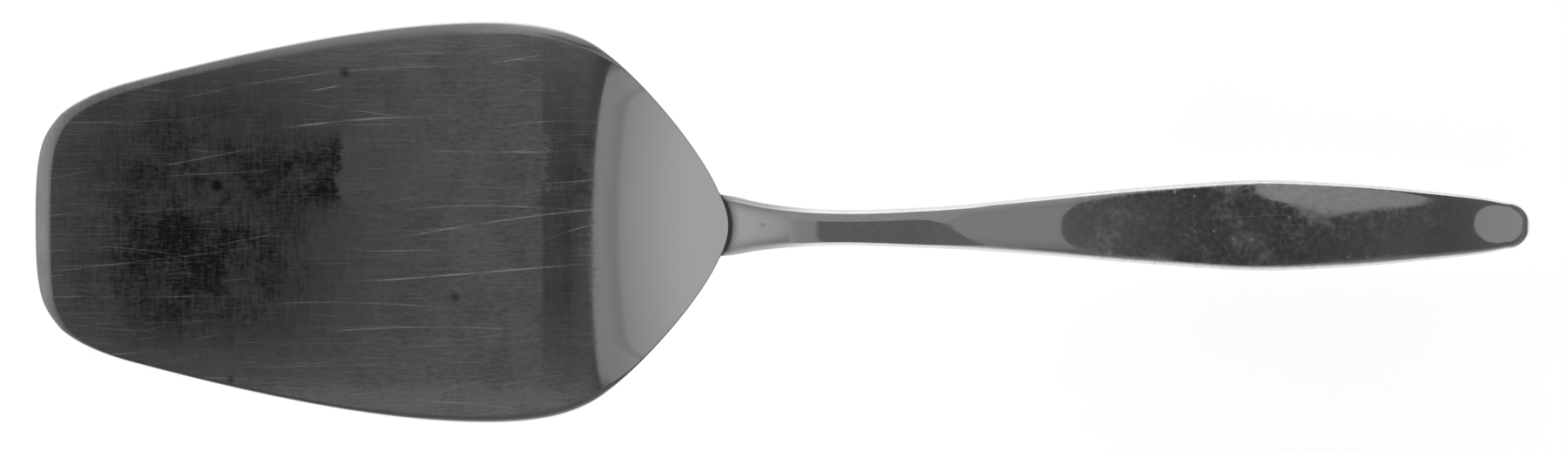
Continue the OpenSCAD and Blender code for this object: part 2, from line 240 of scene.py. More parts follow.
# Small cards close over the handle: seen from above, each is mirrored at one place
neck_tones = [(-0.0166, 0.325), (-0.0122, 0.27), (-0.0042, 0.255), (-0.0022, 0.13), (0.03, 0.128),
              (0.065, 0.15)]
hang("neck_card", low_height, neck_tones, [
    (-0.0165, -0.1), (0.04, -0.1), (0.058, -0.06), (0.0642, -0.0367), (0.0573, -0.0208),
    (0.0525, -0.0109), (0.049, -0.0045), (0.0447, -0.0016), (0.0395, 0.0018), (0.0347, 0.0062),
    (0.0305, 0.0078), (-0.0005, 0.0068), (-0.0165, 0.009)])
hang("neck_light_card", behind_height, [(-0.0166, 0.33), (-0.01, 0.295), (0.05, 0.285)], [
    (-0.0165, 0.0), (0.036, 0.0), (0.042, -0.001), (0.05, 0.01), (0.05, 0.06), (-0.0165, 0.06)])
hang("belly_card", low_height, [(0.077, 0.28), (0.112, 0.26)], [
    (0.0775, 0.15), (0.0777, 0.0132), (0.0795, 0.0048), (0.0833, 0.0024), (0.0857, 0.0006),
    (0.0887, -0.0005), (0.0913, -0.0009), (0.0939, -0.0004), (0.0968, 0.0001), (0.1008, 0.0011),
    (0.1048, 0.0022), (0.1072, 0.0046), (0.1092, 0.0127), (0.1107, 0.024), (0.112, 0.15)])
hang("tail_card", low_height, [(0.119, 0.26), (0.125, 0.275), (0.149, 0.29)], [
    (0.12, -0.0025), (0.121, -0.0037), (0.1232, -0.0052), (0.1264, -0.0086), (0.1325, -0.0138),
    (0.14, -0.0129), (0.15, -0.0067), (0.161, -0.0042), (0.164, -0.0027), (0.156, 0.0005),
    (0.143, 0.0094), (0.14, 0.0251), (0.1345, 0.0237), (0.1283, 0.0145), (0.1235, 0.0041),
    (0.121, -0.0001), (0.1204, -0.0018)])
hang("tail_ring", behind_height, [(0.109, 0.07), (0.12, 0.09), (0.14, 0.12), (0.183, 0.17)], [
    (0.109, -0.03), (0.142, -0.034), (0.16, -0.02), (0.175, -0.0053), (0.182, -0.0041),
    (0.175, -0.0015), (0.167, 0.0072), (0.17, 0.0589), (0.174, 0.2), (0.109, 0.2)])

table_reach = 4.0
table_glow = 0.78
table_grey = 0.8
table_surface, tree = new_material("white_table")
paths = add(tree, "ShaderNodeLightPath").outputs
seen = calc("MAXIMUM", paths["Is Camera Ray"],
            calc("MAXIMUM", paths["Is Glossy Ray"], paths["Is Transmission Ray"]))
glow = put(tree, "ShaderNodeEmission", {"Color": white, "Strength": times(seen, table_glow)})
matt = put(tree, "ShaderNodeBsdfDiffuse", {"Color": (table_grey, table_grey, table_grey, 1)})
add(tree, "ShaderNodeOutputMaterial", {"Surface": put(tree, "ShaderNodeAddShader", {0: glow, 1: matt})})
table_corners = [(x * table_reach, y * table_reach) for x, y in ((-1, -1), (1, -1), (1, 1), (-1, 1))]
table = new_piece("white_table", flat_sheet("white_table", table_corners, 0), table_surface)

# Blade: stainless steel sheet pressed to a flat server with a ground nose bevel, and
# bent up behind the flat to meet the handle. Its upper edge is softened by wear.
blade_low, blade_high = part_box("blade")
nose_x = blade_low[0]
half_blade = blade_high[1]
tail_x = cad_bounds[1][0]
blade_len = 110 * MM
sheet = 1.2 * MM
shoulder_len = 26 * MM
bend_r = 141 * MM
seam_lean = math.radians(30)
seam_slope = math.tan(seam_lean)
seam_bow = 1.4 * MM
mouth_w = 10 * MM
mouth_t = 4.7 * MM
lip_h = 0.5 * MM
plug_len = 7 * MM
handle_t = 6.2 * MM
mouth_x = nose_x + blade_len
handle_len = tail_x - mouth_x
bend_x = mouth_x - shoulder_len
axis_x = bend_x + bend_r

# Side line of blade and handle together: its slope runs straight between landmarks
ease_x, crest_x, slide_x, settle_x, belly_x = (
    mouth_x + share * handle_len for share in (0.116, 0.185, 0.33, 0.44, 0.672))
ease_slope_share = 0.26
settle_slope_share = 0.4
mouth_half_rise = (mouth_t / 2 - lip_h) / math.cos(seam_lean)
crest_level = (sheet + seam_slope * shoulder_len / 2 - mouth_half_rise
               + seam_slope * (1 + ease_slope_share) / 2 * (ease_x - mouth_x)
               + seam_slope * ease_slope_share / 2 * (crest_x - ease_x))
fall_reach = ((slide_x - crest_x) / 2 + (settle_x - slide_x) * (1 + settle_slope_share) / 2
              + (belly_x - settle_x) * settle_slope_share / 2)
fall_slope = (crest_level - handle_t / 2) / fall_reach
slope_places = np.array([bend_x, mouth_x, ease_x, crest_x, slide_x, settle_x, belly_x, tail_x])
slope_values = np.array([0, seam_slope, ease_slope_share * seam_slope, 0, -fall_slope,
                         -settle_slope_share * fall_slope, 0, 0])
slope_climbs = np.concatenate([[0], np.cumsum(
    np.diff(slope_places) * (slope_values[1:] + slope_values[:-1]) / 2)])


def slope(x):
    return np.interp(x, slope_places, slope_values)


def climb(x):
    """Height gained between the bend and x: the area under the slope."""
    x = np.clip(x, slope_places[0], slope_places[-1])
    i = np.clip(np.searchsorted(slope_places, x, side="right") - 1, 0, len(slope_places) - 2)
    return slope_climbs[i] + (x - slope_places[i]) * (slope_values[i] + slope(x)) / 2


def sweep_x(x, y):
    """The blade is swept round the axis of its bend line."""
    return axis_x - np.hypot(axis_x - x, y)


def blade_top(x, y):
    return sheet + climb(sweep_x(x, y))


# Underside: the top line, moved in square to itself by the sheet's thickness
under_steps = 400
under_run = np.linspace(nose_x - 5 * MM, mouth_x + 6 * MM, under_steps)
under_tilt = np.arctan(slope(under_run))
under_places = under_run + sheet * np.sin(under_tilt)
under_levels = sheet + climb(under_run) - sheet * np.cos(under_tilt)


def blade_under(x, y):
    return np.interp(sweep_x(x, y), under_places, under_levels)


def bow(x, y):
    """How far the seam bows towards the handle."""
    fade = np.maximum(0, 1 - np.abs(x - mouth_x) / plug_len)
    return seam_bow * (1 - (2 * y / mouth_w) ** 2) * fade


# Outline, as Bezier spans that share their end points. X is a share of the blade's
# length; Y is a share of half its width, and past the shoulder of the way from the
# root's half width to the blade's.
nose_shares = [(0, 0), (0, 0.35), (0.007, 0.42), (0.037, 0.537), (0.06, 0.605),
               (0.094, 0.657), (0.138, 0.698), (0.29, 0.835), (0.49, 1), (0.659, 1)]
shoulder_shares = [(0.72, 1), (0.788, 0.97), (0.834, 0.818), (0.888, 0.655),
                   (0.975, 0.25), (1, 0)]
half_points = np.array(
    [(nose_x + s * blade_len, t * half_blade) for s, t in nose_shares]
    + [(nose_x + s * blade_len, mouth_w / 2 + t * (half_blade - mouth_w / 2))
       for s, t in shoulder_shares])
span_steps = 60
side_steps = 300
root_steps = 24


def bezier(p, t):
    t = t[:, None]
    return (1 - t) ** 3 * p[0] + 3 * t * (1 - t) ** 2 * p[1] + 3 * t * t * (1 - t) * p[2] + t ** 3 * p[3]


def evenly(points, steps):
    """The same polyline with its points at equal distances."""
    run = np.concatenate([[0], np.cumsum(np.hypot(*np.diff(points, axis=0).T))])
    at = np.linspace(0, run[-1], steps + 1)
    return np.column_stack([np.interp(at, run, points[:, 0]), np.interp(at, run, points[:, 1])])


spans = [bezier(half_points[i:i + 4], np.linspace(0, 1, span_steps, endpoint=False))
         for i in range(0, len(half_points) - 1, 3)]
upper_side = evenly(np.vstack(spans + [half_points[-1:]]), side_steps)
root_y = mouth_w / 2 * np.linspace(1, -1, root_steps + 1)[1:-1]
root = np.column_stack([mouth_x + bow(mouth_x, root_y), root_y])
outline = np.vstack([upper_side, root, upper_side[:0:-1] * (1, -1)])
around = len(outline)
along = np.roll(outline, -1, axis=0) - np.roll(outline, 1, axis=0)
outward = np.column_stack([-along[:, 1], along[:, 0]]) / np.hypot(*along.T)[:, None]

# The worn rim round the blade: how its tilt grows over its run, at shares of the way
# from the nose to the mouth, and how wide it is there in millimetres
rim_run = np.array([0, 0.1, 0.25, 0.45, 0.65, 0.8, 0.9, 0.96, 1])
nose_tilt = (0, 9, 15, 17, 17.6, 18, 18, 18, 18)
side_tilt = (0, 4, 9, 14, 20, 30, 46, 68, 88)
crown_tilt = (0, 5, 7, 9.5, 14, 24, 42, 67, 88)
worn_tilt = (0, 8, 20, 28, 31, 33, 44, 68, 88)
corner_tilt = (0, 8, 12, 15, 18, 22, 30, 50, 88)
upper_tilts = [(0, nose_tilt), (0.07, nose_tilt), (0.15, side_tilt), (0.28, side_tilt),
               (0.36, crown_tilt), (0.62, crown_tilt), (0.67, worn_tilt), (0.745, worn_tilt),
               (0.765, corner_tilt), (0.79, corner_tilt), (0.83, side_tilt), (1, side_tilt)]
lower_tilts = [(0, nose_tilt), (0.07, nose_tilt), (0.15, side_tilt), (0.64, side_tilt),
               (0.72, corner_tilt), (0.79, corner_tilt), (0.83, side_tilt), (1, side_tilt)]
upper_widths = [(0, 2.5), (0.08, 2.4), (0.12, 2.0), (0.17, 1.8), (0.28, 1.6), (0.4, 2.1), (0.6, 2.4),
                (0.66, 2.0), (0.745, 1.9), (0.76, 1.7), (0.78, 1.2), (0.82, 0.25), (1, 0.2)]
lower_widths = [(0, 2.5), (0.064, 2.35), (0.1, 1.8), (0.118, 1.25), (0.132, 0.85), (0.146, 0.55),
                (0.2, 0.45), (0.28, 0.5), (0.5, 0.8), (0.62, 1.2), (0.7, 1.5), (0.755, 1.6),
                (0.78, 1.1), (0.82, 0.25), (1, 0.2)]
foot_rim = 0.16 * MM
soften = 8
way_round = np.concatenate([np.arange(side_steps + 1), np.full(root_steps - 1, side_steps),
                            np.arange(side_steps, 0, -1)]) / side_steps


def round_values(upper_rows, lower_rows):
    """Values round the outline from rows of (share of the way to the mouth, value)."""
    upper, lower = (np.interp(way_round, *zip(*rows)) for rows in (upper_rows, lower_rows))
    values = np.where(outline[:, 1] >= 0, upper, lower)
    return np.mean([np.roll(values, k) for k in range(-soften, soften + 1)], axis=0)


rim_width = round_values(upper_widths, lower_widths) * MM
rim_tilt = np.radians([round_values([(share, tilts[k]) for share, tilts in upper_tilts],
                                    [(share, tilts[k]) for share, tilts in lower_tilts])
                       for k in range(len(rim_run))])
middle_tilt = (rim_tilt[1:] + rim_tilt[:-1]) / 2
run_step = np.diff(rim_run)[:, None]
rim_in = np.vstack([0 * rim_width, np.cumsum(run_step * np.cos(middle_tilt), axis=0)])
rim_down = np.vstack([0 * rim_width, np.cumsum(run_step * np.sin(middle_tilt), axis=0)])
rim_down = rim_down / rim_in[-1]
rim_in = 1 - rim_in / rim_in[-1]


def top_normal(x, y):
    """Upward normals of the blade's top."""
    r = np.hypot(axis_x - x, y)
    tilt = slope(sweep_x(x, y))
    normal = np.column_stack([-tilt * (axis_x - x) / r, tilt * y / r, np.ones_like(x)])
    return normal / np.linalg.norm(normal, axis=1)[:, None]


def enclosed(points, ring):
    """Which of the points lie inside the ring."""
    x, y = ring.T
    next_x, next_y = np.roll(ring, -1, axis=0).T
    held = []
    for spot_x, spot_y in points:
        spans = (y > spot_y) != (next_y > spot_y)
        share = (spot_y - y[spans]) / (next_y - y)[spans]
        held.append(np.sum(x[spans] + (next_x - x)[spans] * share > spot_x) % 2 == 1)
    return np.array(held)


def clear_inside(points, ring):
    """The points that lie inside the ring and keep clear of it."""
    held = points[enclosed(points, ring)]
    gap = np.array([np.min(np.hypot(*(ring - spot).T)) for spot in held])
    return held[gap > clear_share * row_step]


def fill(ring, inner):
    """Triangles over a ring of points, through inner points.
    The triangles number the ring first and the inner points after it."""
    points = np.vstack([ring, inner])
    edges = [(i, (i + 1) % len(ring)) for i in range(len(ring))]
    found = delaunay_2d_cdt([tuple(p) for p in points], edges, [], 0, same_point, True)
    home = np.array([origins[0] for origins in found[3]])
    triangles = home[np.array(found[2])]
    return triangles[enclosed(points[triangles].mean(axis=1), ring)]


# Inner points lie on circles about the sweep axis, so the bend keeps its true form
row_step = 1.1 * MM
clear_share = 0.65
same_point = 1e-9
arcs = []
for r in np.arange(axis_x - mouth_x - seam_bow, axis_x - nose_x, row_step):
    reach = min(1.0, half_blade / r)
    turn = np.arange(-math.asin(reach), math.asin(reach), row_step / r)
    arcs.append(np.column_stack([axis_x - r * np.cos(turn), r * np.sin(turn)]))
arcs = np.vstack(arcs)

top_ring = outline - outward * rim_width[:, None]
top_inner = clear_inside(arcs, top_ring)
top_faces = fill(top_ring, top_inner)
foot_ring = outline - outward * foot_rim
foot_inner = clear_inside(arcs, foot_ring)
foot_faces = fill(foot_ring, foot_inner)

points = []
faces = []
corner_normals = []
edge_shares = []


def add_points(xy, z, edge_share):
    """Add points that lie so far towards the worn edge, and give the first's number."""
    start = len(points)
    points.extend(zip(xy[:, 0], xy[:, 1], z))
    edge_shares.extend([edge_share] * len(xy))
    return start


def add_strip(upper, lower, upper_normals, lower_normals):
    """Quads between two rings round the outline, given by their first point."""
    for i in range(around):
        n = (i + 1) % around
        faces.append((upper + i, upper + n, lower + n, lower + i))
        corner_normals.extend((upper_normals[i], upper_normals[n], lower_normals[n], lower_normals[i]))


level_out = np.column_stack([outward, np.zeros(around)])
surface_up = top_normal(top_ring[:, 0], top_ring[:, 1])
ring_normals = [surface_up * np.cos(a)[:, None] + level_out * np.sin(a)[:, None] for a in rim_tilt]
rings = []
for inset, down, run in zip(rim_in, rim_down, rim_run):
    xy = outline - outward * (rim_width * inset)[:, None]
    rings.append(add_points(xy, blade_top(xy[:, 0], xy[:, 1]) - rim_width * down, run))
for k in range(len(rings) - 1):
    add_strip(rings[k], rings[k + 1], ring_normals[k], ring_normals[k + 1])

foot_turns = np.radians([0, 30, 60, 90])
under_down = -top_normal(foot_ring[:, 0], foot_ring[:, 1])
foot_normals = [level_out * math.cos(a) + under_down * math.sin(a) for a in foot_turns]
foot_rings = []
for a in foot_turns:
    xy = outline - outward * foot_rim * (1 - math.cos(a))
    level = blade_under(xy[:, 0], xy[:, 1]) + foot_rim * (1 - math.sin(a))
    foot_rings.append(add_points(xy, level, 1 - math.sin(a)))
add_strip(rings[-1], foot_rings[0], level_out, level_out)
for k in range(len(foot_rings) - 1):
    add_strip(foot_rings[k], foot_rings[k + 1], foot_normals[k], foot_normals[k + 1])


def add_sheet(ring_start, ring, inner, level, triangles, up):
    """The flat and bent faces inside a ring, with the true normals of the sheet."""
    start = add_points(inner, level(inner[:, 0], inner[:, 1]), 0)
    xy = np.vstack([ring, inner])
    normals = top_normal(xy[:, 0], xy[:, 1]) * (1 if up else -1)
    for face in triangles:
        a, b, c = xy[face]
        if (np.cross(b - a, c - a) > 0) != up:
            face = face[::-1]
        faces.append([int(ring_start + i if i < around else start + i - around) for i in face])
        corner_normals.extend(normals[i] for i in face)


add_sheet(rings[0], top_ring, top_inner, blade_top, top_faces, True)
add_sheet(foot_rings[-1], foot_ring, foot_inner, blade_under, foot_faces, False)

blade_mesh = bpy.data.meshes.new("blade")
blade_mesh.from_pydata(points, [], faces)
blade_mesh.polygons.foreach_set("use_smooth", [True] * len(faces))
blade_mesh.normals_split_custom_set([tuple(n) for n in corner_normals])
edge = blade_mesh.attributes.new("edge", "FLOAT", "POINT")
edge.data.foreach_set("value", edge_shares)


def group_inputs(tree, sockets):
    """Named inputs of a node group: (name, kind) or (name, kind, value) each."""
    for name, kind, *value in sockets:
        made = tree.interface.new_socket(name=name, in_out="INPUT", socket_type="NodeSocket" + kind)
        if value:
            made.default_value = value[0]
    return add(tree, "NodeGroupInput").outputs


def mask_group(name, **numbers):
    """A shader group that gives a mask, and its inputs: a vector and named numbers."""
    made = bpy.data.node_groups.new(name, "ShaderNodeTree")
    made.interface.new_socket(name="Mask", in_out="OUTPUT", socket_type="NodeSocketFloat")
    rows = [(label, "Float", value) for label, value in numbers.items()]
    return made, group_inputs(made, [("Vector", "Vector")] + rows)


def chance(seed, dimensions="3D"):
    """Random numbers that stay the same for each seed vector."""
    return add(seed.id_data, "ShaderNodeTexWhiteNoise", {"Vector": seed}, noise_dimensions=dimensions).outputs


# Shader group for hairline scratches: one random stroke in each long cell of a turned grid
scratch_group, given = mask_group("scratches", Angle=0.0, Length=20.0, Pitch=3.0, Width=0.1,
                                  Share=0.5, Curve=0.5, Seed=1.0)
tree = scratch_group
end_fade = 0.12
seed_shift = (11.3, 5.7, 3.1)
place = xyz(put(tree, "ShaderNodeVectorRotate", {"Vector": given["Vector"], "Angle": given["Angle"]},
                rotation_type="Z_AXIS"))
rows = over(place["Y"], given["Pitch"])
row = calc("FLOOR", rows)
shift = chance(vector(row, given["Seed"]), "2D")["Value"]
cells = plus(over(place["X"], given["Length"]), shift)
cell = calc("FLOOR", cells)
a = less(less(cells, cell), 0.5)
b = less(less(rows, row), 0.5)
cell_seed = vector(cell, row, given["Seed"])
first = chance(cell_seed)
second = chance(put(tree, "ShaderNodeVectorMath", {0: cell_seed, 1: seed_shift}))
r = xyz(first["Color"])
q = xyz(second["Color"])
offset = scaled(r["X"], 0.5, -0.25)
lean = times(scaled(r["Y"], 0.7, -0.35), a)
bend = times(times(less(r["Z"], 0.5), given["Curve"]), times(a, a))
centre = plus(plus(offset, lean), bend)
aside = times(calc("ABSOLUTE", less(b, centre)), given["Pitch"])
stroke_w = times(given["Width"], scaled(q["X"], 0.7, 0.3))
stroke = calc("MAXIMUM", less(1.0, over(aside, stroke_w)), 0.0)
reach = scaled(q["Y"], 0.38, 0.1)
ends = calc("DIVIDE", less(reach, calc("ABSOLUTE", a)), end_fade, use_clamp=True)
drawn = calc("LESS_THAN", q["Z"], given["Share"])
force = scaled(first["Value"], 0.7, 0.3)
add(tree, "NodeGroupOutput", {"Mask": times(times(stroke, ends), times(drawn, force))})

# Shader group for clouded polish: soft cloudy patches, with finer mottling in them
haze_group, given = mask_group("haze", Scale=0.1, Low=0.4, High=0.7)
tree = haze_group
cloud = put(tree, "ShaderNodeTexNoise", {
    "Vector": given["Vector"], "Scale": given["Scale"], "Detail": 6.0, "Roughness": 0.6})
add(tree, "NodeGroupOutput", {"Mask": put(tree, "ShaderNodeMapRange", {
    "Value": cloud, "From Min": given["Low"], "From Max": given["High"]}, interpolation_type="SMOOTHSTEP")})

# Shader group for scattered spots: one round soft spot in some cells of a grid
spot_group, given = mask_group("spots", Pitch=8.0, Size=0.5, Share=0.5, Seed=1.0)
tree = spot_group
place = xyz(given["Vector"])
columns, rows = (over(place[axis], given["Pitch"]) for axis in ("X", "Y"))
column, row = (calc("FLOOR", value) for value in (columns, rows))
found = chance(vector(column, row, given["Seed"]))
r = xyz(found["Color"])
a = less(less(columns, column), scaled(r["X"], 0.6, 0.2))
b = less(less(rows, row), scaled(r["Y"], 0.6, 0.2))
away = calc("SQRT", plus(times(a, a), times(b, b)))
size = times(given["Size"], scaled(r["Z"], 0.6, 0.4))
near = less(1.0, over(times(away, given["Pitch"]), size))
drawn = calc("LESS_THAN", found["Value"], given["Share"])
add(tree, "NodeGroupOutput", {"Mask": times(calc("MAXIMUM", near, 0.0), drawn)})


def effect(group, spot, **inputs):
    """A shader group placed in a material, as its mask."""
    return put(spot.id_data, "ShaderNodeGroup", {"Vector": spot, **inputs}, node_tree=group)


def rescaled(spot, scale):
    return put(spot.id_data, "ShaderNodeMapping", {"Vector": spot, "Scale": scale})


def haze(spot, scale, low, high, stretch=None):
    """Cloudy patches, drawn out where a stretch is given."""
    if stretch:
        spot = rescaled(spot, stretch)
    return effect(haze_group, spot, Scale=scale, Low=low, High=high)


def strokes_of(spot, strokes, curve):
    """Layers of hairline scratches added up. A layer is its angle in degrees, length,
    pitch, width, share of cells that hold one, force and seed."""
    total = None
    for angle, length, pitch, width, share, force, seed in strokes:
        mask = effect(scratch_group, spot, Angle=math.radians(-angle), Length=length, Pitch=pitch,
                      Width=width, Share=share, Curve=curve, Seed=seed)
        mask = times(mask, force)
        total = mask if total is None else plus(total, mask)
    return total


def in_millimetres(tree):
    """Object coordinates in millimetres."""
    return rescaled(add(tree, "ShaderNodeTexCoord").outputs["Object"], (1 / MM, 1 / MM, 1 / MM))


def dress(colour, roughness, height, depth=0.0004 * MM, metallic=1.0):
    """End a material whose bump is a height from 0 to 1 times a depth."""
    tree = colour.id_data
    raised = put(tree, "ShaderNodeBump", {"Height": height, "Distance": depth, "Strength": 1.0})
    surface = put(tree, "ShaderNodeBsdfPrincipled", {
        "Base Color": colour, "Metallic": metallic, "Roughness": roughness, "Normal": raised})
    add(tree, "ShaderNodeOutputMaterial", {"Surface": surface})


steel_grey = 0.675
darkest_film_shade = 0.1
# The scratches are real marks; the lift that they give the steel's colour is a painted glint
brightest_glint = 1.22
scratch_glint = 0.85
pit_dark = 0.8
dusk_depth = 0.56
polish = 0.04
roughest = 0.6
blade_steel, tree = new_material("blade_steel")
spot = in_millimetres(tree)
at = xyz(spot)
along = over(less(at["X"], nose_x / MM), blade_len / MM)
across = over(at["Y"], half_blade / MM)
deep = strokes_of(spot, [
    (5, 64, 9, 0.24, 0.6, 1.0, 1), (1, 44, 7, 0.2, 0.5, 0.8, 2), (9, 30, 7, 0.18, 0.5, 0.7, 3),
    (-4, 38, 9, 0.2, 0.5, 0.7, 4)], 3.0)
light = strokes_of(spot, [
    (2, 24, 2.0, 0.14, 0.6, 0.6, 5), (9, 15, 2, 0.13, 0.5, 0.5, 6), (0, 10, 0.8, 0.1, 0.8, 0.45, 7),
    (-6, 13, 1.7, 0.11, 0.5, 0.4, 10), (88, 9, 1.3, 0.1, 0.4, 0.2, 8), (48, 6, 2.4, 0.1, 0.3, 0.3, 9)], 0.8)
# The bend and the rim were polished after rolling, so the scratches fade there
worn_edge = add(tree, "ShaderNodeAttribute", attribute_name="edge").outputs["Fac"]
on_flat = times(profile(along, [(0.79, 1), (0.83, 0)]),
                profile(worn_edge, [(0, 1), (0.15, 0.5), (0.4, 0)]))
mottle = haze(spot, 0.16, 0.38, 0.66)
wiped = haze(spot, 0.11, 0.36, 0.6)
deep = times(deep, scaled(wiped, 0.75, 0.25))
crossed = haze(spot, 1.0, 0.3, 0.75, stretch=(2.0, 0.3, 1))
grain = haze(spot, 1.0, 0.3, 0.8, stretch=(0.8, 2.4, 1))
rolled = haze(spot, 1.0, 0.35, 0.8, stretch=(0.06, 2.6, 1))
# A dark film lies over the nose half, ends at a ragged line across the blade, and starts again before the
# bend. It is partly tarnish and partly painted dark reflection.
film_shade_strength = 0.78
thickest_film_shade = 1.3
film_edge_jag = 0.02
film_edge_fray = 0.014
film_shade_start = [(0, 0.22), (0.036, 0.46), (0.13, 0.82)]
film_shade_again = [(0.738, 0.03), (0.743, 0.55), (0.78, 0.62), (0.815, 0)]
film_shade_edge = scaled(less(mottle, 0.5), film_edge_jag, along)
film_shade_edge = scaled(less(grain, 0.5), film_edge_fray, film_shade_edge)
soft_end = profile(along, film_shade_start + [
    (0.2, 1), (0.33, 0.95), (0.4, 0.65), (0.5, 0.25), (0.62, 0.03)] + film_shade_again)
sharp_end = profile(film_shade_edge, film_shade_start + [
    (0.2, 0.9), (0.33, 0.9), (0.38, 1), (0.429, 0.95), (0.443, 0.3), (0.6, 0.03)] + film_shade_again)
by_film_edge = profile(across, [(0.05, 0), (0.14, 1), (0.4, 1), (0.49, 0)])
film_shade_along = blend(by_film_edge, soft_end, sharp_end)
film_shade_across = profile(across, [
    (-0.9, 0), (-0.7, 0.35), (-0.5, 0.8), (-0.2, 1), (0.3, 0.95), (0.53, 0.72), (0.74, 0.4), (0.9, 0)])
thin = scaled(mottle, 0.46, scaled(grain, 0.6, scaled(crossed, 0.36, -0.21)))
film_and_shade = times(film_shade_along, film_shade_across, less(thickest_film_shade, thin))
pits = effect(spot_group, spot, Pitch=19.0, Size=1.3, Share=0.3, Seed=4.0)
film_and_shade = plus(film_and_shade, times(pits, on_flat, pit_dark))
# A faint line of painted shade crosses the shoulder on a circle about the bend's axis, in millimetres,
# and turns out at both ends
shade_line_radius = 131.9
shade_line_half = 18.5
shade_line_turn = 0.27
shade_line_rows = [(-1.0, 0), (-0.2, 0.16), (0.3, 0.17), (2.0, 0)]
from_axis = less(axis_x / MM, at["X"])
shade_line_r = calc("SQRT", scaled(from_axis, from_axis, times(at["Y"], at["Y"])))
shade_line_out = calc("MAXIMUM", less(calc("ABSOLUTE", at["Y"]), shade_line_half), 0.0)
shade_line_at = scaled(times(shade_line_out, shade_line_out), shade_line_turn, shade_line_r)
shade_line = profile(shade_line_at, [(shade_line_radius + off, depth) for off, depth in shade_line_rows])
# How light the steel is: the film, partly tarnish and partly painted dark reflection, darkens it; scratches
# lighten it with a painted glint; it is lighter in a band along the lower side; and the shade line, painted
# shade, darkens the shoulder
bare_and_painted_light = calc("MAXIMUM", scaled(film_and_shade, -film_shade_strength, 1.0), darkest_film_shade)
scored = times(scaled(light, 0.5, deep), on_flat)
bare_and_painted_light = calc("MINIMUM", scaled(scored, scratch_glint, bare_and_painted_light), brightest_glint)
# Lighter in a band just in from the lower edge of the flat
lower_side_lift = profile(across, [(-1, 0), (-0.96, 0.2), (-0.91, 0.35), (-0.87, 0.35), (-0.77, 0)])
bare_and_painted_light = times(bare_and_painted_light, plus(times(lower_side_lift, on_flat), 1.0))
bare_and_painted_light = times(bare_and_painted_light, less(1.0, shade_line))
uneven = scaled(mottle, 0.45, less(grain, 0.56))
dusk = scaled(times(uneven, on_flat), -dusk_depth, 1.0)
steel_tone = times(bare_and_painted_light, dusk, steel_grey)
worn = scaled(mottle, 0.05, scaled(rolled, 0.1, 0.02))
worn = plus(scaled(grain, 0.14, worn), times(light, 0.3))
worn = plus(worn, profile(across, [(-1, 0.1), (-0.85, 0), (0.7, 0), (0.95, 0.14)]))
worn = times(scaled(deep, 0.5, worn), on_flat)
worn = scaled(worn_edge, 0.26, worn)
dress(steel_tone, calc("MINIMUM", plus(worn, polish), roughest), grain)

blade = new_piece("blade", blade_mesh, blade_steel)
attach(blade, "root")
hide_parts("blade")

# Bolster and tang: one steel forging. A tapered tongue runs out under the shoulder, a
# plug fills the handle's mouth, and a long tang reaches back through the handle. The
# tongue is filed smooth and brazed on; the rest is hidden inside.
shell_wall = 0.8 * MM
plug_gap = 0.1 * MM
braze_t = 0.1 * MM
solder_t = 0.12 * MM
seam_gap = 0.15 * MM
lip_len = 2.4 * MM
neck_w = 5.8 * MM
neck_t = 3.9 * MM
handle_w = 14.6 * MM
tail_w = 7.5 * MM
tail_t = 4.4 * MM
tail_round = 3.6 * MM
tail_roll = 12 * MM
tang_len = 52 * MM
tang_w = 3.2 * MM
tang_t = 1.5 * MM
tongue_len = 15 * MM
tongue_tip_w = 3 * MM
tongue_tip_t = 0.5 * MM
tongue_margin = 0.1 * MM
weld = 0.002 * MM
sharp_angle = math.radians(40)
neck_share = 0.157
neck_x = mouth_x + neck_share * handle_len
cap_x = tail_x - tail_round
tongue_x = mouth_x - tongue_len


def mix(a, b, s):
    return a + (b - a) * s


def track(rows, x):
    """A smooth curve through (place, value) rows that never swings past a row."""
    place, value = np.array(rows).T
    run = np.diff(place)
    chord = np.diff(value) / run
    lean = np.concatenate([chord[:1], np.zeros(len(chord) - 1), chord[-1:]])
    for i in range(1, len(chord)):
        if chord[i - 1] * chord[i] > 0:
            p = run[i - 1] + 2 * run[i]
            q = 2 * run[i - 1] + run[i]
            lean[i] = (p + q) / (p / chord[i - 1] + q / chord[i])
    i = np.clip(np.searchsorted(place, x, side="right") - 1, 0, len(run) - 1)
    u = np.clip((x - place[i]) / run[i], 0, 1)
    return (mix(value[i], value[i + 1], u * u * (3 - 2 * u))
            + run[i] * u * (1 - u) * ((1 - u) * lean[i] - u * lean[i + 1]))


# Handle outline: shares of the way between two landmarks, and of the two widths there
width_shares = [
    (mouth_x, neck_x, neck_w, mouth_w, [(0, 1), (0.12, 0.83), (0.26, 0.54), (0.47, 0.26), (0.74, 0.06)]),
    (neck_x, belly_x, neck_w, handle_w, [(0, 0), (0.2, 0.1), (0.47, 0.42), (0.74, 0.78)]),
    (belly_x, cap_x, handle_w, tail_w, [(0, 0), (0.34, 0.16), (0.7, 0.52), (0.9, 0.78), (1, 1)])]
width_rows = [(mix(x0, x1, s), mix(w0, w1, t) / 2)
              for x0, x1, w0, w1, shares in width_shares for s, t in shares]
thick_rows = [(mouth_x, mouth_t / 2), (crest_x, neck_t / 2), (belly_x, handle_t / 2), (cap_x, tail_t / 2)]
# How square the section is: 2 would be an ellipse
mouth_power = 3.4
power_rows = [(mouth_x, mouth_power), (neck_x, 2.8), (belly_x, 6), (cap_x, 5.5)]


def power(x):
    return track(power_rows, np.minimum(x, cap_x))


